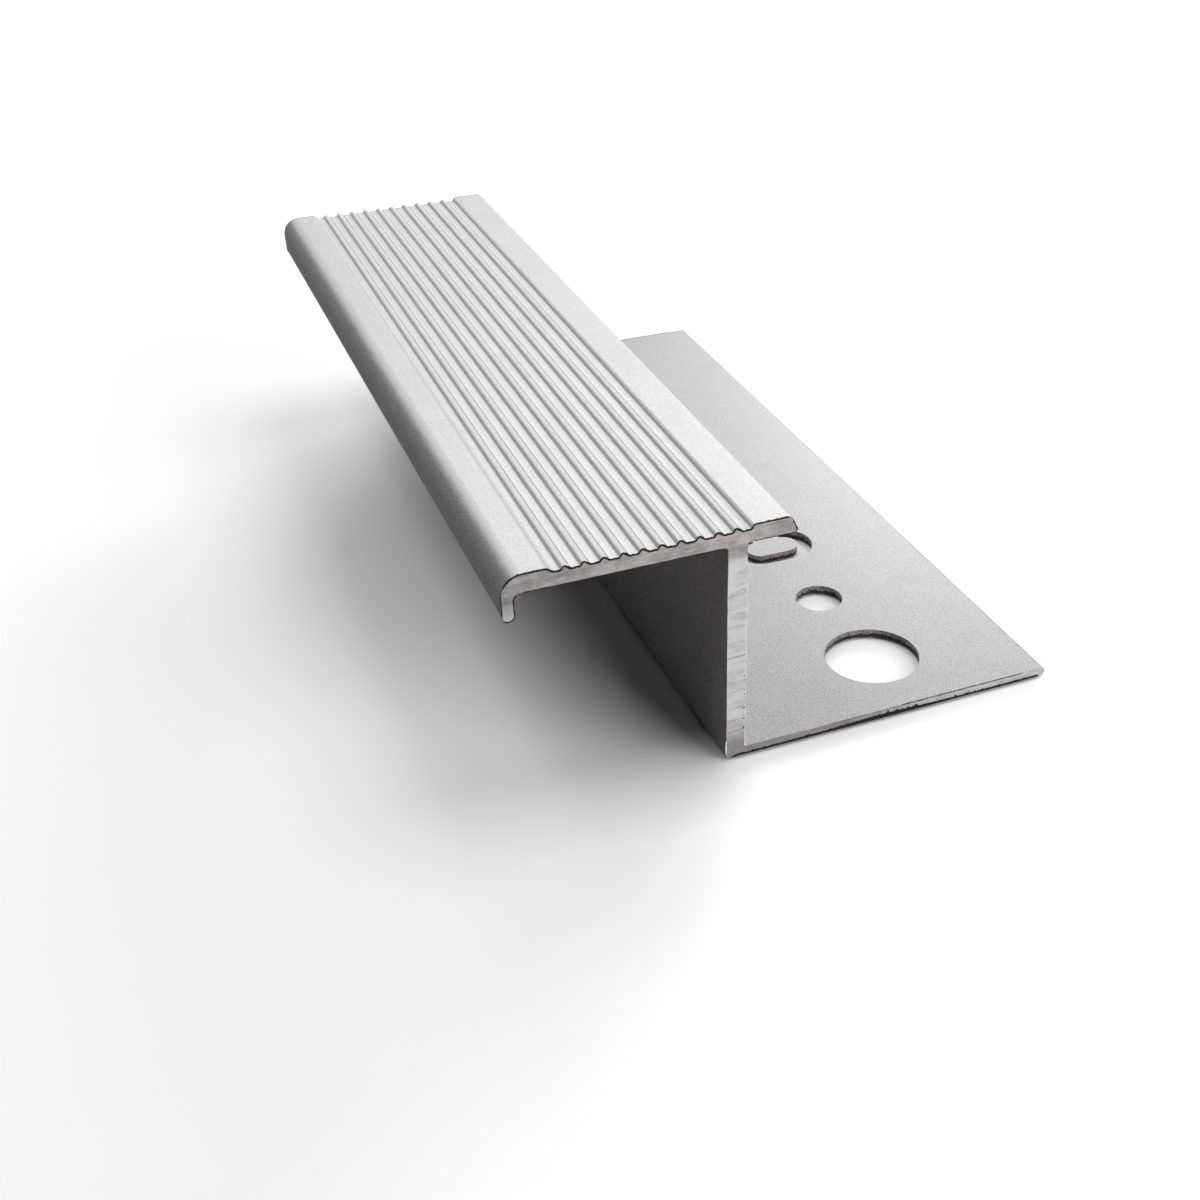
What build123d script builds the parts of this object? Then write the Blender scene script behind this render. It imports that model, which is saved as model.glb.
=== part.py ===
from build123d import *
import math
import os

# Stair nosing: a sample length of extruded aluminium trim for the front edge of a step.
# A perforated flange is bedded under the floor covering, a web stands up from its front
# edge, and a ribbed tread sits on the web and reaches forward to a rounded nose with a
# short lip that hangs in front of the riser covering.
#
# Frame: X runs from the nose (negative) to the free edge of the flange (positive),
# Y along the length, Z up. The origin is the middle of the underside of the whole part.
# The section is drawn with its own zero at the front face of the web, level with the floor.
# All sizes are in millimetres.

# Length of the sawn sample
length = 83.5

# Anchoring flange, bedded under the covering
flange_width = 30.7          # front face of the web to the free edge
flange_thickness = 0.8
heel_radius = 0.15           # outer corner under the web
flange_root_radius = 0.25    # inner corner between flange and web

# Web
web_thickness = 1.6
tread_underside = 20.0       # height left under the tread for the covering
web_root_radius = 0.3        # inner corners between web and tread

# Tread plate
tread_thickness = 1.5
nose_overhang = 17.7         # front face of the web to the front of the nose
back_overhang = 4.25         # back face of the web to the back of the tread
back_lean = 0.65             # how far the back face leans forward from below to the top
back_relief = 0.1            # the back overhang is this much thinner from below
back_top_radius = 0.4
back_bottom_radius = 0.25

# Nose and lip
nose_radius = 1.7
nose_inner_radius = 0.6
lip_thickness = 0.9
lip_drop = 2.2               # how far the lip hangs below the underside of the tread

# Slip-resistant ridges
front_land = 3.55            # plain strip from the front of the nose to the first groove
back_land = 3.0              # least plain strip behind the last groove
ridge_pitch = 1.5
groove_depth = 0.38          # plain strips down to the groove floors
ridge_height = 0.35          # groove floor to the unrounded crest
ridge_front_run = 0.3        # steep flank that faces the nose
ridge_back_run = 0.49        # gentle flank that faces away from it
ridge_crest_radius = 0.12
groove_root_radius = 0.12
entry_run = 0.45             # easy slope from the front strip into the first groove
entry_floor = 0.55           # floor of the first groove
entry_radius = 0.5

# Punched holes of the flange, all on one line
hole_line_to_edge = 13.2     # centre line of the holes to the free edge of the flange
hole_step = 10.5             # between neighbouring holes
first_hole = 7.6             # near end of the sample to the first large hole
large_hole_radius = 4.25
small_hole_radius = 2.2
ring_width = 8.3             # ring-shaped slot, across the flange
ring_length = 5.7            # ring-shaped slot, along the flange
ring_gap = 1.5               # between the tongue and the edge of its slot
neck_width = 2.8             # neck that joins the tongue to the flange
hole_end_margin = 1.0        # least metal left between a hole and a sawn end

# Places that follow from the sizes
free_edge_x = flange_width
web_back_x = web_thickness
nose_x = -nose_overhang
tread_back_x = web_thickness + back_overhang
top_back_x = tread_back_x - back_lean
tread_top = tread_underside + tread_thickness
lip_bottom = tread_underside - lip_drop
groove_floor = tread_top - groove_depth
hole_line_x = free_edge_x - hole_line_to_edge
centre_x = (nose_x + free_edge_x) / 2


def rounded_outline(corners):
    """Closed face in the XZ plane from (x, z, radius) corners, each with its own radius."""
    starts, middles, ends = [], [], []
    for index, (x, z, radius) in enumerate(corners):
        corner = Vector(x, 0, z)
        to_last = Vector(*corners[index - 1][:2]) - Vector(x, z)
        to_next = Vector(*corners[(index + 1) % len(corners)][:2]) - Vector(x, z)
        to_last = Vector(to_last.X, 0, to_last.Y).normalized()
        to_next = Vector(to_next.X, 0, to_next.Y).normalized()
        half_angle = math.radians(to_last.get_angle(to_next)) / 2
        tangent = radius / math.tan(half_angle)
        sagitta = radius / math.sin(half_angle) - radius
        starts.append(corner + to_last * tangent)
        middles.append(corner + (to_last + to_next).normalized() * sagitta)
        ends.append(corner + to_next * tangent)
    edges = []
    for index, (start, middle, end) in enumerate(zip(starts, middles, ends)):
        if (start - ends[index - 1]).length > 1e-6:
            edges.append(Edge.make_line(ends[index - 1], start))
        if corners[index][2] > 0:
            edges.append(Edge.make_three_point_arc(start, middle, end))
    return Face(Wire(edges))


def ridge_corners():
    """Corners of the grooved top, from the front strip to the back strip."""
    corners = []
    corners.append((nose_x + front_land, tread_top, entry_radius))
    floor_start = nose_x + front_land + entry_run
    corners.append((floor_start, groove_floor, entry_radius))
    first_foot = floor_start + entry_floor
    room = top_back_x - back_land - ridge_front_run - first_foot
    ridge_count = max(int(room / ridge_pitch + 1e-6), 0)
    for number in range(ridge_count):
        foot = first_foot + number * ridge_pitch
        crest = foot + ridge_front_run
        corners.append((foot, groove_floor, groove_root_radius))
        corners.append((crest, groove_floor + ridge_height, ridge_crest_radius))
        corners.append((crest + ridge_back_run, groove_floor, groove_root_radius))
    last_foot = first_foot + ridge_count * ridge_pitch
    corners.append((last_foot, groove_floor, groove_root_radius))
    corners.append((last_foot + ridge_front_run, tread_top, ridge_crest_radius))
    return corners


def section():
    """Section of the extrusion, taken clockwise from the heel as seen from the near end."""
    lip_inner_x = nose_x + lip_thickness
    back_underside = tread_underside + back_relief
    corners = [
        (0, 0, heel_radius),
        (0, tread_underside, web_root_radius),
        (lip_inner_x, tread_underside, nose_inner_radius),
        (lip_inner_x, lip_bottom, lip_thickness / 2),
        (nose_x, lip_bottom, lip_thickness / 2),
        (nose_x, tread_top, nose_radius),
    ]
    corners += ridge_corners()
    corners += [
        (top_back_x, tread_top, back_top_radius),
        (tread_back_x, back_underside, back_bottom_radius),
        (web_back_x, back_underside, web_root_radius),
        (web_back_x, flange_thickness, flange_root_radius),
        (free_edge_x, flange_thickness, flange_thickness / 2),
        (free_edge_x, 0, flange_thickness / 2),
    ]
    return rounded_outline(corners)


def round_hole(radius):
    """Outline of a round hole."""
    return Circle(radius)


def ring_slot():
    """Outline of the ring-shaped slot round a tongue, broken by the neck on its far side."""
    outer = SlotOverall(ring_width, ring_length)
    tongue = SlotOverall(ring_width - 2 * ring_gap, ring_length - 2 * ring_gap)
    neck = Pos(0, ring_length / 2) * Rectangle(neck_width, ring_length)
    return outer - tongue - neck


def hole_row():
    """Holes of the flange as (kind, place along the length from the near end)."""
    order = ["large", "small", "ring", "small"]
    half_sizes = {"large": large_hole_radius, "small": small_hole_radius, "ring": ring_length / 2}
    row = []
    for number in range(int(length / hole_step) + 1):
        kind = order[number % len(order)]
        place = first_hole + number * hole_step
        reach = half_sizes[kind] + hole_end_margin
        if reach <= place <= length - reach:
            row.append((kind, place))
    return row


def punches():
    """Solids that cut the row of holes out of the flange."""
    outlines = {
        "large": round_hole(large_hole_radius),
        "small": round_hole(small_hole_radius),
        "ring": ring_slot(),
    }
    cutters = []
    for kind, place in hole_row():
        outline = Pos(hole_line_x, place - length / 2, flange_thickness / 2) * outlines[kind]
        cutters.append(extrude(outline, amount=flange_thickness, both=True))
    return cutters


def nosing():
    """The extruded length with its punched flange, moved to the part's own frame."""
    bar = extrude(section(), amount=length / 2, dir=(0, 1, 0), both=True)
    for cutter in punches():
        bar -= cutter
    return Pos(-centre_x, 0, 0) * bar


os.makedirs("parts", exist_ok=True)
export_step(nosing(), "parts/nosing.step")
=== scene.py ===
import logging
import math
from dataclasses import dataclass
from enum import Enum, IntEnum

import bpy
import numpy as np
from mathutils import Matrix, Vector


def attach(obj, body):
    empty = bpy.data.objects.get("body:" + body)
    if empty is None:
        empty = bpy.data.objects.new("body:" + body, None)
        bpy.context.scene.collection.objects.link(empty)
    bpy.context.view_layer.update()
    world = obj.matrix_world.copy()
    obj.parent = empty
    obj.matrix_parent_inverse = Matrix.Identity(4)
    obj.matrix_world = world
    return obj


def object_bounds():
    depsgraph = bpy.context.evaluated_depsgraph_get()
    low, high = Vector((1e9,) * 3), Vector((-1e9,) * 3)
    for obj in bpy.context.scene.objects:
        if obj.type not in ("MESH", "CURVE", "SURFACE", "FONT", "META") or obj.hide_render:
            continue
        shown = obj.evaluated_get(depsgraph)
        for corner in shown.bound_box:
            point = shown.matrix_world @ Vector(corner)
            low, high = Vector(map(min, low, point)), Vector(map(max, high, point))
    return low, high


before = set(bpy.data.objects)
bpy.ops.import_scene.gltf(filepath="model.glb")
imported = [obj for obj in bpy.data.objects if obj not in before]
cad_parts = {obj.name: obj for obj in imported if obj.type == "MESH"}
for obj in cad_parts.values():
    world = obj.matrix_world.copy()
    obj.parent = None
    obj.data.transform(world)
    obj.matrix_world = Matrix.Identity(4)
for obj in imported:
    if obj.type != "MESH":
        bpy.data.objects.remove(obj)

CAD_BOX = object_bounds()
LOG = logging.getLogger("stair_nosing")

MM = 0.001
Colour = tuple[float, float, float]
Point = tuple[float, float, float]
Place = tuple[float, float]
Range = tuple[float, float]
Socket = bpy.types.NodeSocket
Source = Socket | float | tuple[float, ...]


class Slot(Enum):
    """Material slots of the record."""

    ALUMINIUM = "anodised_aluminium"


class Corner(IntEnum):
    """Corners of the section where burrs start or end. Those below zero count from the last one."""

    WEB_FRONT = 0
    LIP_ROOT = 1
    LIP_TIP = 3
    NOSE = 4
    BACK_TOP = -7
    WEB_BACK = -5


class SawnEnd(Enum):
    """The two sawn ends of the sample, with the side of the middle that each lies on."""

    NEAR = -1
    FAR = 1

    @property
    def lift(self) -> float:
        """Share of their rise that the burrs on top of the tread have at this end."""
        return 1.0 if self is SawnEnd.NEAR else 0.06

    @property
    def first_seed(self) -> int:
        """Start of the random draws of this end's first burr."""
        return 3 if self is SawnEnd.NEAR else 43


class NodeBench:
    """Places shader nodes in one node tree and wires them up."""

    def __init__(self, tree: bpy.types.NodeTree) -> None:
        """Starts work on a tree.

        Args:
            tree: The tree that the nodes go into.
        """
        self.tree = tree

    def add(self, kind: str, **settings: object) -> bpy.types.Node:
        """Adds a node.

        Args:
            kind: The node's type, such as ShaderNodeMath.
            settings: Properties to set on it.

        Returns:
            The new node.
        """
        node = self.tree.nodes.new(kind)
        for name, value in settings.items():
            setattr(node, name, value)
        return node

    def feed(self, socket: Socket, source: Source) -> None:
        """Links an output to a socket, or sets the socket's own value.

        Args:
            socket: The input to fill.
            source: An output socket, a number or a tuple.
        """
        if isinstance(source, Socket):
            self.tree.links.new(source, socket)
        elif isinstance(source, tuple) and len(source) == 3 and socket.type == "RGBA":
            socket.default_value = (*source, 1.0)
        else:
            socket.default_value = source

    def fill(self, node: bpy.types.Node, sources: dict[str, Source]) -> None:
        """Feeds several inputs of a node.

        Args:
            node: The node.
            sources: What each input gets, by the input's name.
        """
        for name, source in sources.items():
            self.feed(node.inputs[name], source)

    def math(self, operation: str, first: Source, *others: Source, clamp: bool = False) -> Socket:
        """Arithmetic in one step for each further value: the first with the second, the result of
        that with the third, and so on.

        Args:
            operation: Name of the Math operation.
            first: First value.
            others: Further values, none for an operation on one value.
            clamp: Whether each result is kept between 0 and 1.

        Returns:
            The last result's socket.
        """
        result = first
        for other in others or (0.0,):
            node = self.add("ShaderNodeMath", operation=operation, use_clamp=clamp)
            self.feed(node.inputs[0], result)
            self.feed(node.inputs[1], other)
            result = node.outputs[0]
        return result

    def times(self, *values: Source) -> Socket:
        """Multiplies values with each other."""
        return self.math("MULTIPLY", *values)

    def apart(self, first: Source, second: Source) -> Socket:
        """How far two values are apart."""
        return self.math("ABSOLUTE", self.math("SUBTRACT", first, second))

    def plus(self, base: Source, *steps: tuple[Source, float]) -> Socket:
        """Adds masks to a value, each times an amount of its own.

        Args:
            base: The value.
            steps: Pairs of a mask and its amount.

        Returns:
            The sum's socket.
        """
        total = base
        for mask, amount in steps:
            total = self.math("ADD", total, self.times(mask, amount))
        return total

    def split(self, vector: Source) -> tuple[Socket, Socket, Socket]:
        """Splits a vector.

        Args:
            vector: The vector.

        Returns:
            Its X, Y and Z.
        """
        node = self.add("ShaderNodeSeparateXYZ")
        self.feed(node.inputs[0], vector)
        return node.outputs[0], node.outputs[1], node.outputs[2]

    def ramp(
        self, value: Source, low: float, high: float, to_low: Source = 0.0, to_high: Source = 1.0
    ) -> Socket:
        """Smooth step of a value from one range to another, held at both ends.

        Args:
            value: The value to map.
            low: Start of its range.
            high: End of its range.
            to_low: Result at the start.
            to_high: Result at the end.

        Returns:
            The result's socket.
        """
        node = self.add("ShaderNodeMapRange", interpolation_type="SMOOTHSTEP", clamp=True)
        span = {"Value": value, "From Min": low, "From Max": high}
        self.fill(node, span | {"To Min": to_low, "To Max": to_high})
        return node.outputs["Result"]

    def blend(self, factor: Source, first: Source, second: Source) -> Socket:
        """Mixes two colours, which are the inputs 6 and 7 of a Mix node, with output 2 as the result.

        Args:
            factor: 0 for the first, 1 for the second.
            first: First colour.
            second: Second colour.

        Returns:
            The mixed colour's socket.
        """
        node = self.add("ShaderNodeMix", data_type="RGBA", blend_type="MIX", clamp_factor=True)
        self.feed(node.inputs["Factor"], factor)
        self.feed(node.inputs[6], first)
        self.feed(node.inputs[7], second)
        return node.outputs[2]

    def scaled(self, vector: Source, factor: Source) -> Socket:
        """Multiplies a colour or a position by a plain number.

        Args:
            vector: The colour or position.
            factor: The number.

        Returns:
            The result's socket.
        """
        node = self.add("ShaderNodeVectorMath", operation="SCALE")
        self.feed(node.inputs[0], vector)
        self.feed(node.inputs["Scale"], factor)
        return node.outputs[0]

    def stretched(self, position: Source, scale: Point) -> Socket:
        """Scales a position along each axis, so that a pattern gets its own grain size and direction.

        Args:
            position: The position.
            scale: Factors along X, Y and Z.

        Returns:
            The new position's socket.
        """
        node = self.add("ShaderNodeVectorMath", operation="MULTIPLY")
        self.feed(node.inputs[0], position)
        self.feed(node.inputs[1], scale)
        return node.outputs[0]

    def noise(
        self, position: Source, scale: Source, detail: float = 2.0, roughness: float = 0.5
    ) -> Socket:
        """Soft random value between 0 and 1. A fourth coordinate, held halfway between whole numbers,
        keeps it as lively on level faces that lie on a whole number of cycles.

        Args:
            position: The position.
            scale: Cycles per metre.
            detail: Number of finer layers.
            roughness: Strength of the finer layers.

        Returns:
            The value's socket.
        """
        node = self.add("ShaderNodeTexNoise", noise_dimensions="4D")
        grain = {"Scale": scale, "Detail": detail, "Roughness": roughness}
        self.fill(node, {"Vector": position, "W": 0.5} | grain)
        return node.outputs["Fac"]


def new_finish(name: str) -> tuple[bpy.types.Material, bpy.types.Node]:
    """Makes a material with nothing but its shader.

    Args:
        name: The material's name.

    Returns:
        The material and its shader.
    """
    material = bpy.data.materials.new(name)
    material.use_nodes = True
    return material, material.node_tree.nodes["Principled BSDF"]


@dataclass(frozen=True)
class SectionSizes:
    """Section of the extrusion in millimetres, with its zero at the web's front face on the floor."""

    length: float
    top: float
    flange_width: float = 30.7
    flange_thickness: float = 0.8
    flange_root_radius: float = 0.25
    heel_radius: float = 0.15
    web_thickness: float = 1.6
    web_root_radius: float = 0.3
    underside: float = 20.0
    nose: float = -17.7
    nose_radius: float = 1.7
    nose_inner_radius: float = 0.6
    lip_thickness: float = 0.9
    lip_drop: float = 2.2
    back: float = 5.85
    back_lean: float = 0.65
    back_relief: float = 0.1
    back_top_radius: float = 0.4
    back_bottom_radius: float = 0.25
    front_land: float = 3.55
    entry_run: float = 0.45
    entry_floor: float = 0.55
    entry_radius: float = 0.5
    ridge_count: int = 10
    pitch: float = 1.5
    front_run: float = 0.3
    back_run: float = 0.49
    groove_depth: float = 0.38
    ridge_height: float = 0.35
    crest_radius: float = 0.12
    hole_line: float = 17.5
    arc_points: int = 9

    @classmethod
    def from_box(cls, box: tuple[Point, Point]) -> "SectionSizes":
        """Takes the length and the height of the top from the part's box.

        Args:
            box: The box's lowest and highest corner in metres.

        Returns:
            The sizes.
        """
        low, high = box
        return cls(length=round((high[1] - low[1]) / MM, 3), top=round(high[2] / MM, 3))

    @property
    def centre(self) -> float:
        """Middle of the part along X, from the web's front face."""
        return (self.nose + self.flange_width) / 2

    @property
    def half_length(self) -> float:
        """Distance from the middle of the length to a sawn end."""
        return self.length / 2

    @property
    def back_underside(self) -> float:
        """Height of the underside behind the web."""
        return self.underside + self.back_relief

    @property
    def groove_floor(self) -> float:
        """Height of the groove floors."""
        return self.top - self.groove_depth

    @property
    def first_foot(self) -> float:
        """Where the front flank of the first ridge starts."""
        return self.nose + self.front_land + self.entry_run + self.entry_floor

    def nose_corners(self) -> np.ndarray:
        """Corners of the lip and the nose, from the underside to the front strip.

        Returns:
            Rows of x, z and radius.
        """
        inner = self.nose + self.lip_thickness
        tip = self.underside - self.lip_drop
        rows = [
            (0.0, self.underside, self.web_root_radius),
            (inner, self.underside, self.nose_inner_radius),
            (inner, tip, self.lip_thickness / 2),
            (self.nose, tip, self.lip_thickness / 2),
            (self.nose, self.top, self.nose_radius),
        ]
        return np.array(rows)

    def ridge_corners(self) -> np.ndarray:
        """Corners of the grooved top: each ridge repeats its foot, crest and back foot one pitch on.

        Returns:
            Rows of x, z and radius.
        """
        start = self.nose + self.front_land
        entry = [
            (start, self.top, self.entry_radius),
            (start + self.entry_run, self.groove_floor, self.entry_radius),
        ]
        foot = self.first_foot + self.pitch * np.arange(self.ridge_count)
        steps = np.array([0.0, self.front_run, self.front_run + self.back_run])
        lift = np.array([0.0, self.ridge_height, 0.0])
        x = (foot[:, None] + steps).ravel()
        z = self.groove_floor + np.tile(lift, self.ridge_count)
        ridges = np.stack([x, z, np.full_like(x, self.crest_radius)], -1)
        last = self.first_foot + self.pitch * self.ridge_count
        rise = [
            (last, self.groove_floor, self.crest_radius),
            (last + self.front_run, self.top, self.crest_radius),
        ]
        return np.concatenate([entry, ridges, rise])

    def back_corners(self) -> np.ndarray:
        """Corners of the tread's back edge, the web's back face and the flange.

        Returns:
            Rows of x, z and radius.
        """
        rows = [
            (self.back - self.back_lean, self.top, self.back_top_radius),
            (self.back, self.back_underside, self.back_bottom_radius),
            (self.web_thickness, self.back_underside, self.web_root_radius),
            (self.web_thickness, self.flange_thickness, self.flange_root_radius),
            (self.flange_width, self.flange_thickness, self.flange_thickness / 2),
            (self.flange_width, 0.0, self.flange_thickness / 2),
            (0.0, 0.0, self.heel_radius),
        ]
        return np.array(rows)

    def arcs(self) -> np.ndarray:
        """Rounds every corner of the section: a point of an arc is the arc's centre plus the radius
        times the direction turned evenly from one straight run's normal to the next one's.

        Returns:
            Points as corner, place on its arc, and x and z in the part's own frame.
        """
        corners = np.concatenate([self.nose_corners(), self.ridge_corners(), self.back_corners()])
        place, radius = corners[:, :2], corners[:, 2]
        onward = np.roll(place, -1, 0) - place
        onward /= np.linalg.norm(onward, axis=1)[:, None]
        inward = np.roll(onward, 1, 0)
        first = np.stack([-inward[:, 1], inward[:, 0]], -1)
        last = np.stack([-onward[:, 1], onward[:, 0]], -1)
        turn = np.arctan2(first[:, 0] * last[:, 1] - first[:, 1] * last[:, 0], (first * last).sum(1))
        side = -np.sign(turn)
        bisector = first + last
        bisector /= np.linalg.norm(bisector, axis=1)[:, None]
        centre = place - (side * radius / np.cos(turn / 2))[:, None] * bisector
        share = np.linspace(0, 1, self.arc_points)
        angle = np.arctan2(first[:, 1], first[:, 0])[:, None] + turn[:, None] * share
        spoke = np.stack([np.cos(angle), np.sin(angle)], -1) * (side * radius)[:, None, None]
        return centre[:, None] + spoke - (self.centre, 0.0)

    def between(self, start: Corner, first: int, end: Corner, last: int) -> np.ndarray:
        """Stretch of the outline from one corner's arc to another's.

        Args:
            start: Corner where it starts.
            first: Number of its first point on that corner's arc.
            end: Corner where it ends.
            last: Number of the point on that corner's arc before which it ends.

        Returns:
            The points' x and z in the part's own frame.
        """
        arcs = self.arcs()
        count, points, _ = arcs.shape
        return arcs.reshape(-1, 2)[start % count * points + first:end % count * points + last]

    def straight(self, start: Place, end: Place) -> np.ndarray:
        """Straight edge between two places of the section, moved to the part's own frame."""
        return np.array([start, end]) - (self.centre, 0.0)


def resampled(path: np.ndarray, step: float) -> np.ndarray:
    """Points at even distances along a line of straight runs, with two runs at least.

    Args:
        path: The line's points.
        step: About how far apart the new points are.

    Returns:
        The new points, the first and the last being the line's own ends.
    """
    travelled = np.concatenate([[0.0], np.cumsum(np.linalg.norm(np.diff(path, axis=0), axis=1))])
    even = np.linspace(0.0, travelled[-1], max(int(travelled[-1] / step), 2) + 1)
    return np.stack([np.interp(even, travelled, path[:, axis]) for axis in range(path.shape[1])], -1)


def ragged(count: int, seed: int, smooth: int) -> np.ndarray:
    """Uneven values between 0 and 1: random numbers averaged over their neighbours, then stretched.

    Args:
        count: How many values.
        seed: Start of the random draws.
        smooth: How many neighbours each value is averaged over.

    Returns:
        The values.
    """
    draws = np.random.default_rng(seed).random(count + smooth - 1)
    soft = np.convolve(draws, np.ones(smooth) / smooth, "valid")
    return (soft - soft.min()) / np.ptp(soft)


def outwardness(points: np.ndarray, quads: np.ndarray) -> float:
    """Says which way faces point: the sum over the faces of each one's middle, taken from the middle
    of all points, dotted with its area vector.

    Args:
        points: The surface's points.
        quads: Its faces.

    Returns:
        A number above zero where they point outwards, and below zero where they point inwards.
    """
    corners = (points - points.mean(0))[quads]
    area = np.cross(corners[:, 2] - corners[:, 0], corners[:, 3] - corners[:, 1]) / 2
    return float((corners.mean(1) * area).sum())


def swept_piece(name: str, rings: np.ndarray, finish: bpy.types.Material) -> bpy.types.Object:
    """Makes a closed piece from rings of points: each ring is joined to the next, and the two end
    rings are closed by one face each.

    Args:
        name: The piece's name.
        rings: Points in millimetres, as ring number, place round the ring, and x, y, z.
        finish: Its material.

    Returns:
        The piece, riding on the part.
    """
    count, around, _ = rings.shape
    points = rings.reshape(-1, 3)
    ring = np.arange(count - 1)[:, None] * around
    spot = np.arange(around)
    after = (spot + 1) % around
    corners = [ring + spot, ring + after, ring + around + after, ring + around + spot]
    quads = np.stack(corners, -1).reshape(-1, 4)
    caps = [spot[::-1].tolist(), (spot + (count - 1) * around).tolist()]
    mesh = bpy.data.meshes.new(name)
    mesh.from_pydata((points * MM).tolist(), [], quads.tolist() + caps)
    mesh.materials.append(finish)
    mesh.validate()
    mesh.update()
    if outwardness(points, quads) < 0:
        mesh.flip_normals()
    piece = bpy.data.objects.new(name, mesh)
    bpy.context.scene.collection.objects.link(piece)
    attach(piece, "root")
    return piece


class PartBench(NodeBench):
    """Bench for a finish of the part, with sockets that say where a point is and which way its
    surface faces. The position is in metres in the part's own frame, and x, y and z are millimetres
    from the web's front face, the middle of the length and the floor.
    """

    def __init__(self, tree: bpy.types.NodeTree, sizes: SectionSizes) -> None:
        """Adds the nodes that read the place and the direction.

        Args:
            tree: The tree that the nodes go into.
            sizes: The section.
        """
        super().__init__(tree)
        self.sizes = sizes
        where = self.add("ShaderNodeTexCoord")
        self.position = where.outputs["Object"]
        x, self.y, self.z = self.split(self.scaled(self.position, 1 / MM))
        self.x = self.math("ADD", x, sizes.centre)
        self.facing_x, self.facing_y, self.facing_z = self.split(where.outputs["Normal"])


class EffectGroup:
    """A shader effect that several finishes share, kept as one node group."""

    name = "effect"
    inputs: dict[str, float] = {}
    outputs: tuple[str, ...] = ("Tone",)

    def __init__(self) -> None:
        """Makes the group, with a position, the numbers that it names and its outputs."""
        self.tree = bpy.data.node_groups.new(self.name, "ShaderNodeTree")
        sockets = self.tree.interface
        sockets.new_socket(name="Position", in_out="INPUT", socket_type="NodeSocketVector")
        for label, value in self.inputs.items():
            socket = sockets.new_socket(name=label, in_out="INPUT", socket_type="NodeSocketFloat")
            socket.default_value = value
        for label in self.outputs:
            sockets.new_socket(name=label, in_out="OUTPUT", socket_type="NodeSocketFloat")
        self.bench = NodeBench(self.tree)
        self.given = self.bench.add("NodeGroupInput").outputs
        self.result = self.bench.add("NodeGroupOutput")
        self.wire()

    def wire(self) -> None:
        """Wires the effect inside the group, in each effect's own way."""
        raise NotImplementedError

    def swing(self, noise: Socket, contrast: str) -> Socket:
        """Turns a noise into a value that swings to both sides of zero.

        Args:
            noise: The noise.
            contrast: Name of the input that says how far it swings.

        Returns:
            The value's socket.
        """
        swinging = self.bench.ramp(noise, 0.3, 0.7, -1.0, 1.0)
        return self.bench.times(swinging, self.given[contrast])

    def place(self, bench: NodeBench, position: Source, **values: Source) -> bpy.types.NodeOutputs:
        """Puts the group into a finish.

        Args:
            bench: The finish's nodes.
            position: Position on the part.
            values: Values for the group's other inputs.

        Returns:
            The group's outputs.
        """
        node = bench.add("ShaderNodeGroup", node_tree=self.tree)
        bench.fill(node, {"Position": position} | values)
        return node.outputs


class FineGrain(EffectGroup):
    """Fine matt grain, soft mottling and a slow cloud: tone is 1 plus or minus the three contrasts."""

    name = "fine_grain"
    inputs = {"Grains": 12000.0, "Contrast": 0.10, "Mottle": 0.05, "Cloud": 0.03}
    outputs = ("Tone", "Height")
    mottles: float = 4200.0
    clouds: float = 260.0

    def wire(self) -> None:
        """Wires three noises, from fine to coarse."""
        bench, position = self.bench, self.given["Position"]
        grain = bench.noise(position, self.given["Grains"], 1.0)
        mottle = bench.noise(position, self.mottles, 2.0)
        cloud = bench.noise(position, self.clouds, 3.0)
        tone: Source = 1.0
        for noise, contrast in ((grain, "Contrast"), (mottle, "Mottle"), (cloud, "Cloud")):
            tone = bench.math("ADD", self.swing(noise, contrast), tone)
        bench.fill(self.result, {"Tone": tone, "Height": grain})


class SawStreaks(EffectGroup):
    """Streaks that run along X, broken by smears: tone is 1 plus or minus the two contrasts."""

    name = "saw_streaks"
    inputs = {"Streaks": 3000.0, "Contrast": 0.15, "Smear": 0.15}
    smears: float = 900.0
    streak_stretch: Point = (0.12, 1.0, 1.0)
    smear_stretch: Point = (0.6, 1.0, 1.0)

    def wire(self) -> None:
        """Wires a noise stretched far along X and a patchy one stretched a little."""
        bench, position = self.bench, self.given["Position"]
        long = bench.stretched(position, self.streak_stretch)
        wide = bench.stretched(position, self.smear_stretch)
        streak = self.swing(bench.noise(long, self.given["Streaks"], 3.0, 0.6), "Contrast")
        smear = self.swing(bench.noise(wide, self.smears, 4.0, 0.7), "Smear")
        bench.fill(self.result, {"Tone": bench.math("ADD", streak, smear, 1.0)})


@dataclass
class Effects:
    """The shared effects, each made once."""

    grain: FineGrain
    streaks: SawStreaks


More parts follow.
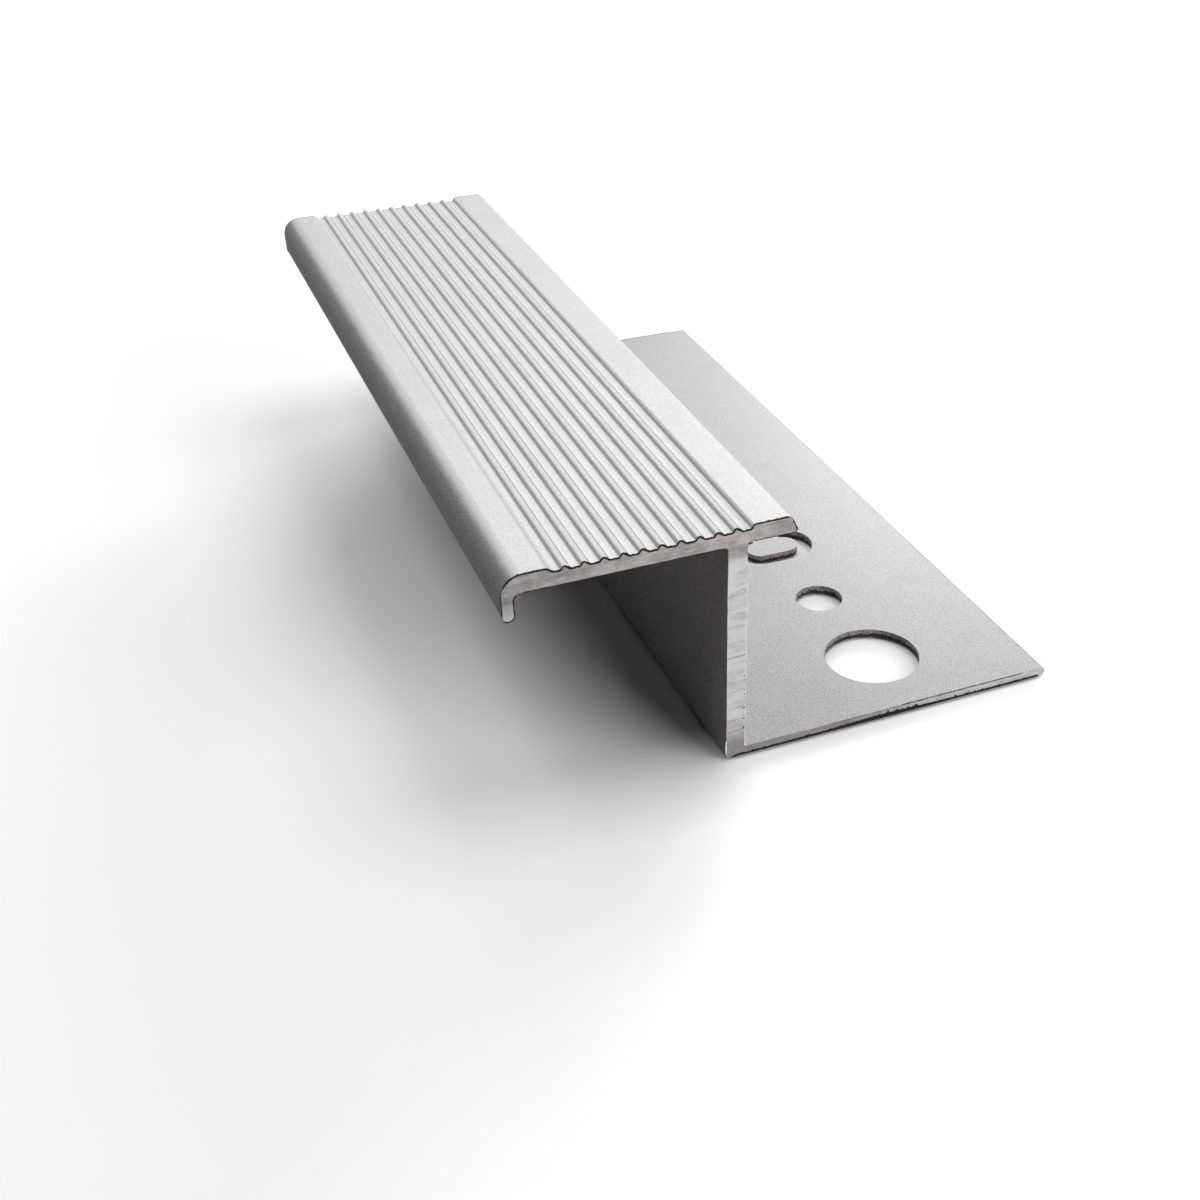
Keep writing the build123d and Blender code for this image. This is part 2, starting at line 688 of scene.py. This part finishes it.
@dataclass(frozen=True)
class PaintedShadeLines:
    """Thin grey lines of painted shade along the tread: one in the crease at the back foot of each
    ridge, and one over the highlight where the front strip ends. A line fades with the distance
    from its middle, over a range in millimetres."""

    colour: Colour = (0.30, 0.295, 0.29)
    root_fade: Range = (0.08, 0.03)
    strip_fade: Range = (0.09, 0.03)
    strip_strength: float = 0.8
    strip_offset: float = 0.2

    def mask(self, bench: PartBench, tread: Socket) -> Socket:
        """Mask of the lines: places near a whole number of pitches from the first back foot, and
        places near the end of the front strip.

        Args:
            bench: The finish's nodes.
            tread: 1 on the tread, 0 below it.

        Returns:
            1 on a line, less beside it.
        """
        sizes = bench.sizes
        last = sizes.pitch * (sizes.ridge_count - 1)
        first = sizes.first_foot + sizes.front_run + sizes.back_run
        from_first = bench.math("SUBTRACT", bench.x, first)
        aside = bench.math("PINGPONG", from_first, sizes.pitch / 2)
        after_first = bench.ramp(from_first, -0.3, -0.25)
        before_last = bench.ramp(from_first, last + 0.25, last + 0.2)
        roots = bench.times(bench.ramp(aside, *self.root_fade), after_first, before_last)
        strip_end = sizes.nose + sizes.front_land + self.strip_offset
        from_strip = bench.apart(bench.x, strip_end)
        strip = bench.ramp(from_strip, *self.strip_fade, 0.0, self.strip_strength)
        return bench.times(bench.math("MAXIMUM", roots, strip), tread)


@dataclass(frozen=True)
class SawMark:
    """Fine dark line across the web's cut: its height at the web's front face in millimetres, its
    slope towards the back, and how much it darkens."""

    height: float
    slope: float
    strength: float


@dataclass(frozen=True)
class SawnMetal:
    """Raw metal of the sawn ends: brownish on the tread and the flange, paler on the web and towards
    the flange's free edge, with streaks and a few saw marks. The ranges are places in millimetres."""

    tread: Colour = (0.57, 0.53, 0.515)
    web: Colour = (0.95, 0.94, 0.94)
    flange: Colour = (0.46, 0.435, 0.425)
    edge: Colour = (0.84, 0.81, 0.80)
    web_foot: Range = (1.2, 4.4)
    web_head: Range = (19.4, 18.3)
    over_flange: Range = (1.0, 3.0)
    to_edge: Range = (10.0, 17.0)
    to_tread: Range = (17.5, 19.5)
    mark_fade: Range = (0.11, 0.03)
    marks: tuple[SawMark, ...] = (
        SawMark(15.6, 0.11, 0.28),
        SawMark(12.8, -0.03, 0.06),
        SawMark(9.9, 0.05, 0.35),
        SawMark(6.5, 0.15, 0.18),
        SawMark(4.8, 0.12, 0.20),
        SawMark(3.5, 0.35, 0.18),
        SawMark(2.5, 0.15, 0.16),
        SawMark(17.4, 0.05, 0.05),
    )

    def mask(self, bench: PartBench) -> Socket:
        """Mask of the sawn ends: faces turned along Y that lie at the ends.

        Args:
            bench: The finish's nodes.

        Returns:
            1 on a sawn end.
        """
        turned = bench.math("GREATER_THAN", bench.math("ABSOLUTE", bench.facing_y), 0.7)
        end = bench.sizes.half_length - 0.02
        last = bench.math("GREATER_THAN", bench.math("ABSOLUTE", bench.y), end)
        return bench.times(turned, last)

    def coloured(self, bench: PartBench) -> Socket:
        """Colour of the metal. A mark darkens what lies near its height plus its slope times x.

        Args:
            bench: The finish's nodes.

        Returns:
            The colour.
        """
        foot, head = bench.ramp(bench.z, *self.web_foot), bench.ramp(bench.z, *self.web_head)
        flange = bench.blend(bench.ramp(bench.x, *self.to_edge), self.flange, self.edge)
        brown = bench.blend(bench.ramp(bench.z, *self.over_flange), flange, self.tread)
        colour = bench.blend(bench.times(foot, head), brown, self.web)
        on_web = bench.math("LESS_THAN", bench.x, bench.sizes.web_thickness + 0.2)
        for mark in self.marks:
            above = bench.math("SUBTRACT", bench.z, mark.height)
            off = bench.apart(above, bench.times(bench.x, mark.slope))
            line = bench.times(bench.ramp(off, *self.mark_fade, 0.0, mark.strength), on_web)
            colour = bench.scaled(colour, bench.math("SUBTRACT", 1.0, line))
        return colour

    def tone(self, bench: PartBench, streaks: SawStreaks) -> Socket:
        """Fine streaks on the web and the flange, and stronger smears on the tread.

        Args:
            bench: The finish's nodes.
            streaks: The shared streaks.

        Returns:
            What the colour is multiplied by.
        """
        fine = streaks.place(bench, bench.position, Streaks=3200.0, Contrast=0.12, Smear=0.15)
        smeared = streaks.place(bench, bench.position, Streaks=4200.0, Contrast=0.17, Smear=0.30)
        return bench.ramp(bench.z, *self.to_tread, fine["Tone"], smeared["Tone"])


@dataclass(frozen=True)
class PunchedMetal:
    """Torn walls of the punched holes: mottled above, dark below an uneven line. The dark part is
    the torn fracture zone together with painted shade on the walls' lower part.
    """

    upper: Colour = (0.38, 0.345, 0.33)
    # Near black: the fracture zone, with painted shade.
    lower: Colour = (0.02, 0.018, 0.018)
    line: Range = (0.40, 0.28)
    unevenness: float = 0.1
    dark_spot: float = 0.45
    light_spot: float = 1.55
    reach: float = 6.0

    def mask(self, bench: PartBench) -> Socket:
        """Mask of the hole walls: upright faces of the flange near the line of the holes.

        Args:
            bench: The finish's nodes.

        Returns:
            1 on a hole's wall.
        """
        sizes = bench.sizes
        upright = bench.math("LESS_THAN", bench.math("ABSOLUTE", bench.facing_z), 0.5)
        low = bench.math("LESS_THAN", bench.z, sizes.flange_thickness + 0.02)
        near = bench.math("LESS_THAN", bench.apart(bench.x, sizes.hole_line), self.reach)
        inside = bench.math("LESS_THAN", bench.math("ABSOLUTE", bench.y), sizes.half_length - 0.2)
        return bench.times(upright, low, near, inside)

    def coloured(self, bench: PartBench) -> Socket:
        """Colour of the metal: a fine noise mottles the upper part, and a coarse one makes the line
        where the dark part starts uneven.

        Args:
            bench: The finish's nodes.

        Returns:
            The colour.
        """
        coarse = bench.noise(bench.position, 1800.0, 3.0)
        fine = bench.noise(bench.position, 5500.0, 2.0)
        uneven = bench.ramp(coarse, 0.3, 0.7, -self.unevenness, self.unevenness)
        level = bench.math("ADD", bench.z, uneven)
        spots = bench.ramp(fine, 0.35, 0.65, self.dark_spot, self.light_spot)
        return bench.blend(bench.ramp(level, *self.line), bench.scaled(self.upper, spots), self.lower)


@dataclass(frozen=True)
class SkinTurns:
    """Ranges of the surface direction over which a look of the skin grows from none to full. They
    are of its X part, below zero where a face looks forward, and down is of its Z part. Most
    of these looks are painted light: shade on the nose, the ridges' front flanks, the web, faces
    that look down, faces of the tread tilted back and the flange's free edge, and highlights on
    the crests and their rims."""

    nose: Range = (-0.28, -0.72)
    flank: Range = (-0.66, -0.755)
    crest: Range = (-0.4, -0.7)
    web: Range = (-0.5, -0.7)
    rim: Range = (-0.08, -0.3)
    rim_end: Range = (-0.74, -0.55)
    back: Range = (0.05, 0.5)
    tilted: Range = (0.03, 0.3)
    edge: Range = (0.12, 0.3)
    down: Range = (-0.3, -0.8)


@dataclass(frozen=True)
class SkinTones:
    """How much brighter or darker than the plain skin each place of the tread is: painted
    highlights on the crests and on the rims beside them, lighter groove floors, and painted shade
    on faces tilted back.
    """

    # Painted highlight on the rounded rims beside each front flank.
    rim: float = 0.35
    groove: float = 0.15
    # Painted highlight on the crests.
    crest: float = 0.45
    # Painted shade on faces tilted back.
    back: float = -0.08


@dataclass(frozen=True)
class SkinGrain:
    """Grain of the skin: the contrast of its speckle and its mottling, what the nose with its painted
    shade and the tread add to each, and the relief that it gives, with its depth in millimetres."""

    grains: float = 9000.0
    speckle: float = 0.27
    nose_speckle: float = 0.20
    tread_speckle: float = -0.16
    mottle: float = 0.03
    nose_mottle: float = 0.05
    tread_mottle: float = 0.02
    cloud: float = 0.02
    relief: float = 0.3
    relief_depth: float = 0.012


@dataclass(frozen=True)
class AnodisedFinish:
    """Satin anodised skin of the extrusion, with raw metal where it was sawn and punched."""

    tread: Colour = (0.615, 0.612, 0.614)
    # The flange shares the tread's anodised skin; its darker grey is painted shade from the tread and
    # the web above it.
    flange: Colour = (0.362, 0.355, 0.357)
    # Painted shade: colour given to faces that look forward or down, the nose, the lip, the ridges'
    # front flanks and the tread's underside.
    painted_shade: Colour = (0.32, 0.307, 0.303)
    # Painted shade on the web's front face, which lies under the tread.
    web: Colour = (0.57, 0.52, 0.545)
    # Painted shade: a dark line on the flange's rounded free edge.
    edge_painted_shade: Colour = (0.07, 0.065, 0.065)
    metallic: float = 0.2
    # Metallic where the painted shade lies.
    painted_shade_metallic: float = 0.04
    roughness: float = 0.38
    worn_roughness: float = 0.75
    gloss: float = 0.35
    nose_reach: float = 2.0
    # Share of the painted shade on the ridges' front flanks.
    flank_painted_shade: float = 0.4
    turns: SkinTurns = SkinTurns()
    tones: SkinTones = SkinTones()
    grain: SkinGrain = SkinGrain()
    # Thin painted shade lines along the tread.
    lines: PaintedShadeLines = PaintedShadeLines()
    sawn: SawnMetal = SawnMetal()
    punched: PunchedMetal = PunchedMetal()

    def build(self, sizes: SectionSizes, effects: Effects) -> bpy.types.Material:
        """Makes the material.

        Args:
            sizes: The section, which says where the ridges, the sawn ends and the holes are.
            effects: The shared effects.

        Returns:
            The material.
        """
        material, shader = new_finish("anodised_aluminium_satin")
        bench = PartBench(material.node_tree, sizes)
        at_nose = bench.math("LESS_THAN", bench.x, sizes.nose + self.nose_reach)
        on_tread = bench.math("GREATER_THAN", bench.z, sizes.underside)
        skin, painted_shade = self.skins(bench, at_nose)
        painted_shade_nose = bench.times(painted_shade, at_nose)
        grain = self.laid_grain(bench, painted_shade_nose, on_tread, effects.grain)
        colour = bench.scaled(skin, grain["Tone"])
        colour = bench.blend(self.punched.mask(bench), colour, self.punched.coloured(bench))
        cut = bench.scaled(self.sawn.coloured(bench), self.sawn.tone(bench, effects.streaks))
        colour = bench.blend(self.sawn.mask(bench), colour, cut)
        tilted = bench.times(bench.ramp(bench.facing_x, *self.turns.tilted), on_tread)
        edge = bench.ramp(bench.x, sizes.flange_width - 0.3, sizes.flange_width - 0.15)
        matt = bench.math("MAXIMUM", tilted, painted_shade, edge)
        bump = bench.add("ShaderNodeBump")
        depth = self.grain.relief_depth * MM
        bench.fill(bump, {"Strength": self.grain.relief, "Distance": depth, "Height": grain["Height"]})
        looks = {
            "Base Color": colour,
            "Metallic": bench.ramp(painted_shade, 0.0, 1.0, self.metallic, self.painted_shade_metallic),
            "Roughness": bench.ramp(matt, 0.0, 1.0, self.roughness, self.worn_roughness),
            "Specular IOR Level": self.gloss,
            "Normal": bump.outputs["Normal"],
        }
        bench.fill(shader, looks)
        return material

    def laid_grain(
        self, bench: PartBench, nose: Socket, tread: Socket, effect: FineGrain
    ) -> bpy.types.NodeOutputs:
        """Lays the grain on the skin, stronger on the nose with its painted shade and softer on the
        tread.

        Args:
            bench: The finish's nodes.
            nose: Mask of the nose's painted shade.
            tread: Mask of the tread.
            effect: The shared grain.

        Returns:
            The grain's tone and height.
        """
        grain = self.grain
        speckle = bench.plus(grain.speckle, (nose, grain.nose_speckle), (tread, grain.tread_speckle))
        mottle = bench.plus(grain.mottle, (nose, grain.nose_mottle), (tread, grain.tread_mottle))
        return effect.place(
            bench,
            bench.position,
            Grains=grain.grains,
            Contrast=speckle,
            Mottle=mottle,
            Cloud=grain.cloud,
        )

    def skins(self, bench: PartBench, at_nose: Socket) -> tuple[Socket, Socket]:
        """Colour of the skin: bright on the tread, with painted highlights on the ridges' crests and
        the rims beside them and lighter groove floors; a darker grey on the flange as painted shade;
        painted shade on the nose, on the ridges' front flanks, on the web's front face, on faces that
        look down and on faces of the tread tilted back; a dark painted shade line on the flange's free
        edge; and painted shade lines along the tread.

        Args:
            bench: The finish's nodes.
            at_nose: 1 on the nose and the lip, 0 behind them.

        Returns:
            The colour, and how much painted shade the place has, the flange's free edge included.
        """
        sizes, turns, tones = bench.sizes, self.turns, self.tones
        tread = bench.ramp(bench.z, sizes.underside - 0.5, sizes.underside + 0.5)
        below = bench.ramp(bench.z, sizes.underside, sizes.underside - 0.4)
        beyond = bench.math("SUBTRACT", 1.0, at_nose)
        # Painted highlight: the upper part of each front flank is brightened as crest.
        on_crest = bench.ramp(bench.z, sizes.groove_floor + 0.19, sizes.groove_floor + 0.25)
        crest = bench.times(on_crest, beyond, bench.ramp(bench.facing_x, *turns.crest))
        nose = bench.times(at_nose, bench.ramp(bench.facing_x, *turns.nose))
        flank = bench.ramp(bench.facing_x, *turns.flank, 0.0, self.flank_painted_shade)
        flank = bench.times(beyond, flank, bench.math("SUBTRACT", 1.0, crest))
        lip = bench.times(at_nose, bench.math("LESS_THAN", bench.z, sizes.underside - 0.05))
        down = bench.ramp(bench.facing_z, *turns.down)
        low = bench.times(beyond, below)
        web = bench.times(low, bench.ramp(bench.facing_x, *turns.web))
        # Painted shade: faces that look forward or down take the darker colours.
        painted_shade = bench.math("MAXIMUM", nose, flank, lip, down, web)
        skin = bench.blend(tread, self.flange, self.tread)
        skin = bench.blend(painted_shade, skin, bench.blend(low, self.painted_shade, self.web))
        # Painted highlight on the rounded rims at the top and the foot of each front flank.
        rim_end = bench.ramp(bench.facing_x, *turns.rim_end)
        rim = bench.times(tread, beyond, bench.ramp(bench.facing_x, *turns.rim), rim_end)
        groove = bench.times(bench.ramp(bench.z, sizes.top - 0.15, sizes.groove_floor), tread)
        # Painted shade on faces of the tread tilted back.
        back = bench.times(tread, bench.ramp(bench.facing_x, *turns.back))
        steps = (rim, tones.rim), (groove, tones.groove), (crest, tones.crest), (back, tones.back)
        skin = bench.scaled(skin, bench.plus(1.0, *steps))
        # Painted shade: the flange's free edge, where it turns away, is darkened to a line.
        last = bench.math("GREATER_THAN", bench.x, sizes.flange_width - 0.5)
        edge = bench.times(bench.ramp(bench.facing_x, *turns.edge), last)
        skin = bench.blend(edge, skin, self.edge_painted_shade)
        # Painted shade lines in the ridges' back feet and at the end of the front strip.
        skin = bench.blend(self.lines.mask(bench, tread), skin, self.lines.colour)
        return skin, bench.math("MAXIMUM", painted_shade, edge)


@dataclass(frozen=True)
class TornFinish:
    """Torn metal of the burrs."""

    name: str
    colour: Colour
    roughness: float = 0.5
    metallic: float = 0.0
    gloss: float = 0.15

    def build(self, effects: Effects) -> bpy.types.Material:
        """Makes the material.

        Args:
            effects: The shared effects.

        Returns:
            The material.
        """
        material, shader = new_finish(self.name)
        bench = NodeBench(material.node_tree)
        place = bench.add("ShaderNodeTexCoord").outputs["Object"]
        streaks = effects.streaks.place(bench, place, Streaks=6000.0, Contrast=0.2, Smear=0.2)
        looks = {
            "Base Color": bench.scaled(self.colour, streaks["Tone"]),
            "Metallic": self.metallic,
            "Roughness": self.roughness,
            "Specular IOR Level": self.gloss,
        }
        bench.fill(shader, looks)
        return material


class Tear(Enum):
    """Kinds of torn metal on the burrs."""

    # The dark kind is painted shade: near-black burrs that stand for the shaded sides of the burrs and
    # the shade under the sawn edges.
    DARK = TornFinish("torn_edge_shade_dark", (0.02, 0.018, 0.018))
    GREY = TornFinish("torn_edge_grey", (0.55, 0.535, 0.53))
    LIGHT = TornFinish("torn_edge_light", (0.95, 0.95, 0.95), 0.3, 0.6, 0.5)


@dataclass(frozen=True)
class BurrShape:
    """Most that a burr reaches, in millimetres, and how uneven it is.

    It rises off the edge's face, drops down the sawn end and stands off it. Its least height is the
    least share of that. Random values are averaged over some neighbours and raised to the peak, and
    a bell swells it round one place of the section.
    """

    rise: float
    drop: float
    stand: float
    least: float
    smooth: int = 3
    peak: float = 1.0
    swell_at: float = 0.0
    swell_half: float = 1.0
    swell: float = 0.0


@dataclass(frozen=True)
class Burr:
    """One burr: the edge that it follows, its shape and its kind of torn metal."""

    name: str
    edge: np.ndarray
    shape: BurrShape
    tear: Tear = Tear.DARK


@dataclass
class SawBurrs:
    """Thin ragged burrs that the saw left along the edges of a sawn end.

    A burr is a wedge whose section has five corners: its root in the metal, its tip, its shoulder,
    its foot, and the foot's own root. Each corner lies off the edge's face and off the sawn end by
    shares of the burr's rise, drop and stand and by a fixed size in millimetres.
    """

    sizes: SectionSizes
    end: SawnEnd
    finishes: dict[Tear, bpy.types.Material]
    step: float = 0.07
    fade_points: int = 6
    rise_shares: tuple[float, ...] = (0.0, 1.0, 0.7, 0.0, 0.0)
    drop_shares: tuple[float, ...] = (0.0, 0.0, 0.0, -1.0, -0.5)
    stand_shares: tuple[float, ...] = (0.0, 0.4, 1.0, 0.0, 0.0)
    fixed_off_face: tuple[float, ...] = (0.004, 0.0, 0.0, 0.0, -0.01)
    fixed_off_end: tuple[float, ...] = (-0.05, 0.0, 0.0, 0.008, -0.03)

    def along(self, burr: Burr, seed: int) -> bpy.types.Object:
        """Carries the wedge along an edge, with its rise, drop and stand each times an uneven factor:
        the least share plus the rest of it times a soft random value raised to the shape's peak,
        times one plus a bell of the distance to the swell's middle, thinned out at both ends.

        Args:
            burr: The burr.
            seed: Start of the random draws.

        Returns:
            The piece.
        """
        shape = burr.shape
        path = resampled(burr.edge, self.step)
        run = np.gradient(path, axis=0)
        run /= np.linalg.norm(run, axis=1)[:, None]
        normal = np.stack([-run[:, 1], run[:, 0]], -1)
        order = np.arange(len(path))
        taper = np.clip(np.minimum(order, order[::-1]) / self.fade_points, 0.1, 1)
        from_swell = (path[:, 0] + self.sizes.centre - shape.swell_at) / shape.swell_half
        taper *= 1 + shape.swell * np.exp(-(from_swell**2))
        draws = (ragged(len(path), seed + shift, shape.smooth) ** shape.peak for shift in (0, 100, 200))
        uneven = [taper * (shape.least + (1 - shape.least) * draw) for draw in draws]
        rise, drop, stand = shape.rise * uneven[0], shape.drop * uneven[1], shape.stand * uneven[2]
        off_face = np.outer(rise, self.rise_shares) + np.outer(drop, self.drop_shares)
        off_face += self.fixed_off_face
        off_end = np.outer(stand, self.stand_shares) + self.fixed_off_end
        spot = path[:, None] + normal[:, None] * off_face[..., None]
        y = self.end.value * (self.sizes.half_length + off_end)
        rings = np.stack([spot[..., 0], y, spot[..., 1]], -1)
        return swept_piece(f"burr_{burr.name}_{self.end.name.lower()}", rings, self.finishes[burr.tear])

    def burrs(self) -> list[Burr]:
        """Burrs of this end, in the order of their random draws.

        Returns:
            The burrs.
        """
        sizes, lift = self.sizes, self.end.lift
        width, thick = sizes.flange_width, sizes.flange_thickness
        web, under = sizes.web_thickness, sizes.back_underside
        return [
            Burr(
                "tread",
                sizes.between(Corner.NOSE, 2, Corner.BACK_TOP, 6),
                BurrShape(0.17 * lift, 0.08, 0.07, least=0.5),
            ),
            Burr(
                "nose",
                sizes.between(Corner.LIP_TIP, 6, Corner.NOSE, 3),
                BurrShape(0.07 * lift, 0.05, 0.04, least=0.6),
            ),
            Burr(
                "lip",
                sizes.between(Corner.LIP_ROOT, 0, Corner.NOSE, 0),
                BurrShape(0.09, 0.05, 0.04, least=0.6),
            ),
            Burr(
                "underside",
                sizes.between(Corner.WEB_FRONT, 8, Corner.LIP_ROOT, 1),
                BurrShape(0.08, 0.06, 0.04, least=0.4, smooth=5),
            ),
            Burr(
                "back",
                sizes.between(Corner.BACK_TOP, 5, Corner.WEB_BACK, 0),
                BurrShape(0.05, 0.16, 0.05, least=0.3, peak=1.5),
            ),
            Burr(
                "back_under",
                sizes.straight((sizes.back - 0.3, under), (web + 0.35, under)),
                BurrShape(0.05, 0.05, 0.04, least=0.4, smooth=4),
            ),
            Burr(
                "web_nicks",
                sizes.straight((web, 11.5), (web, 1.4)),
                BurrShape(0.004, 0.32, 0.012, least=0.02, peak=7.0),
            ),
            Burr(
                "web",
                sizes.straight((web, 17.5), (web, 1.1)),
                BurrShape(0.06, 0.05, 0.05, least=0.35),
                Tear.LIGHT,
            ),
            Burr(
                "web_front",
                sizes.straight((0.0, 2.0), (0.0, 17.5)),
                BurrShape(0.03, 0.04, 0.04, least=0.4, smooth=5),
                Tear.LIGHT,
            ),
            Burr(
                "web_foot",
                sizes.straight((0.0, 0.25), (0.0, 1.95)),
                BurrShape(0.14, 0.03, 0.03, least=0.7, smooth=9),
                Tear.LIGHT,
            ),
            Burr(
                "flange_top",
                sizes.straight((16.2, thick), (width - 2.2, thick)),
                BurrShape(0.04, 0.10, 0.04, least=0.35, smooth=7),
            ),
            Burr(
                "flange_fuzz",
                sizes.straight((web + 0.2, thick), (16.5, thick)),
                BurrShape(0.03, 0.26, 0.05, least=0.1, peak=1.5),
                Tear.GREY,
            ),
            # The flange's burr hangs as a thick dark line under its sawn edge: a burr together with
            # painted contact shadow on the gap below.
            Burr(
                "flange",
                sizes.straight((width - 0.4, 0.0), (0.3, 0.0)),
                BurrShape(0.02, 0.36, 0.06, 0.5, 3, 5.0, swell_at=14.5, swell_half=4.5, swell=1.0),
            ),
        ]

    def build(self) -> list[bpy.types.Object]:
        """Makes the burrs of this end, each with random draws of its own.

        Returns:
            The pieces.
        """
        seed = self.end.first_seed
        return [self.along(burr, seed + 2 * number) for number, burr in enumerate(self.burrs())]


@dataclass(frozen=True)
class SoftLamp:
    """One square soft lamp: its bearing from +X and its height above the floor in degrees, its
    power, and its side and its distance from the part in metres."""

    name: str
    bearing: float
    height: float
    watts: float
    side: float = 0.42
    distance: float = 0.8


@dataclass
class Studio:
    """Floor, lamps, world and camera. The camera's place is in millimetres and its turn in degrees."""

    lamps: tuple[SoftLamp, ...] = (
        SoftLamp("lamp_right", 0.0, 65.0, 1.23),
        SoftLamp("lamp_top", 0.0, 90.0, 0.212),
        SoftLamp("lamp_left", 180.0, 65.0, 1.218),
        SoftLamp("lamp_front_low", 315.0, 14.0, 0.419),
        SoftLamp("lamp_right_low", 45.0, 14.0, 3.847),
        SoftLamp("lamp_back", 90.0, 45.0, 0.716),
        SoftLamp("lamp_front_near", 300.0, 20.0, 0.332, 0.2, 0.3),
        SoftLamp("strip_back_low", 60.0, 18.0, 0.495, 0.2),
        SoftLamp("strip_back", 74.0, 34.0, 0.364, 0.2),
    )
    floor_radius: float = 0.33
    floor_drop: float = 0.25 * MM
    floor_seen: Colour = (1.54, 1.523, 1.523)
    floor_bounce: float = 0.1
    rim_points: int = 128
    world_seen: float = 1.0
    world_fill: float = 0.0
    camera_place: Point = (-46.39, -131.12, 77.02)
    camera_turn: Point = (53.741, 0.455, -22.533)
    camera_near: float = 0.01
    lens: float = 45.285
    sensor: float = 36.0
    shift: Place = (-0.0730, 0.0894)

    def lay_floor(self) -> bpy.types.Object:
        """Lays the pale floor: a flat round face, as far as the lamps light it well. The camera sees
        the white world past it.

        Returns:
            The floor.
        """
        angle = np.linspace(0.0, 2 * math.pi, self.rim_points, endpoint=False)
        rim = (np.cos(angle) * self.floor_radius, np.sin(angle) * self.floor_radius)
        place = np.stack([*rim, np.full_like(angle, -self.floor_drop)], -1)
        mesh = bpy.data.meshes.new("studio_floor")
        mesh.from_pydata(place.tolist(), [], [list(range(self.rim_points))])
        mesh.materials.append(self.floor_finish())
        floor = bpy.data.objects.new("studio_floor", mesh)
        bpy.context.scene.collection.objects.link(floor)
        return floor

    def floor_finish(self) -> bpy.types.Material:
        """White floor that throws back less light than it shows.

        Returns:
            The material.
        """
        material, shader = new_finish("pale_floor")
        bench, nodes = NodeBench(material.node_tree), material.node_tree.nodes
        nodes.remove(shader)
        tone = bench.blend(self.seen_rays(bench), (self.floor_bounce,) * 3, self.floor_seen)
        matt = bench.add("ShaderNodeBsdfDiffuse")
        bench.fill(matt, {"Color": tone})
        bench.fill(nodes["Material Output"], {"Surface": matt.outputs[0]})
        return material

    @staticmethod
    def seen_rays(bench: NodeBench) -> Socket:
        """Says which rays see the background as the picture does.

        Args:
            bench: Where the nodes go.

        Returns:
            1 for camera, glossy and transmission rays, 0 for the rest.
        """
        rays = bench.add("ShaderNodeLightPath").outputs
        kinds = (rays["Is Camera Ray"], rays["Is Glossy Ray"], rays["Is Transmission Ray"])
        return bench.math("ADD", *kinds, clamp=True)

    def light_world(self) -> None:
        """Makes the world white for the rays that see it, with no light of its own for the rest."""
        world = bpy.data.worlds.new("studio_world")
        bpy.context.scene.world = world
        world.use_nodes = True
        bench = NodeBench(world.node_tree)
        strength = bench.ramp(self.seen_rays(bench), 0.0, 1.0, self.world_fill, self.world_seen)
        looks = {"Color": (1.0, 1.0, 1.0), "Strength": strength}
        bench.fill(world.node_tree.nodes["Background"], looks)

    @staticmethod
    def hang_lamp(lamp: SoftLamp) -> bpy.types.Object:
        """Hangs one square soft lamp that faces the part: its place is its distance times the
        direction that its bearing and its height angle give.

        Args:
            lamp: Where it hangs and how strong it is.

        Returns:
            The lamp.
        """
        data = bpy.data.lights.new(lamp.name, "AREA")
        data.shape = "SQUARE"
        data.size = lamp.side
        data.energy = lamp.watts
        hung = bpy.data.objects.new(lamp.name, data)
        bearing, height = math.radians(lamp.bearing), math.radians(lamp.height)
        flat = lamp.distance * math.cos(height)
        rise = lamp.distance * math.sin(height)
        hung.location = (flat * math.cos(bearing), flat * math.sin(bearing), rise)
        hung.rotation_euler = (math.pi / 2 - height, 0.0, bearing + math.pi / 2)
        bpy.context.scene.collection.objects.link(hung)
        return hung

    def set_camera(self) -> bpy.types.Object:
        """Sets the camera where the photograph was taken from.

        Returns:
            The camera.
        """
        data = bpy.data.cameras.new("camera")
        data.sensor_fit = "HORIZONTAL"
        data.sensor_width = self.sensor
        data.lens = self.lens
        data.shift_x, data.shift_y = self.shift
        data.clip_start = self.camera_near
        camera = bpy.data.objects.new("camera", data)
        camera.location = [value * MM for value in self.camera_place]
        camera.rotation_euler = [math.radians(value) for value in self.camera_turn]
        bpy.context.scene.collection.objects.link(camera)
        bpy.context.scene.camera = camera
        return camera

    def build(self) -> list[bpy.types.Object]:
        """Sets up the whole studio.

        Returns:
            The floor, the lamps and the camera.
        """
        bpy.context.scene.view_settings.view_transform = "Standard"
        self.light_world()
        return [self.lay_floor(), *map(self.hang_lamp, self.lamps), self.set_camera()]


def main() -> None:
    """Builds the scene piece by piece."""
    sizes = SectionSizes.from_box(CAD_BOX)
    effects = Effects(FineGrain(), SawStreaks())
    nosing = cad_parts["nosing"]
    nosing.material_slots[0].material = AnodisedFinish().build(sizes, effects)
    LOG.info("nosing: finish laid on")
    finishes = {tear: tear.value.build(effects) for tear in Tear}
    for end in SawnEnd:
        for piece in SawBurrs(sizes, end, finishes).build():
            LOG.info("%s: %d points", piece.name, len(piece.data.vertices))
    for item in Studio().build():
        LOG.info("%s: in place", item.name)


if __name__ == "__main__":
    logging.basicConfig(level=logging.INFO, format="%(name)s: %(message)s")
    main()
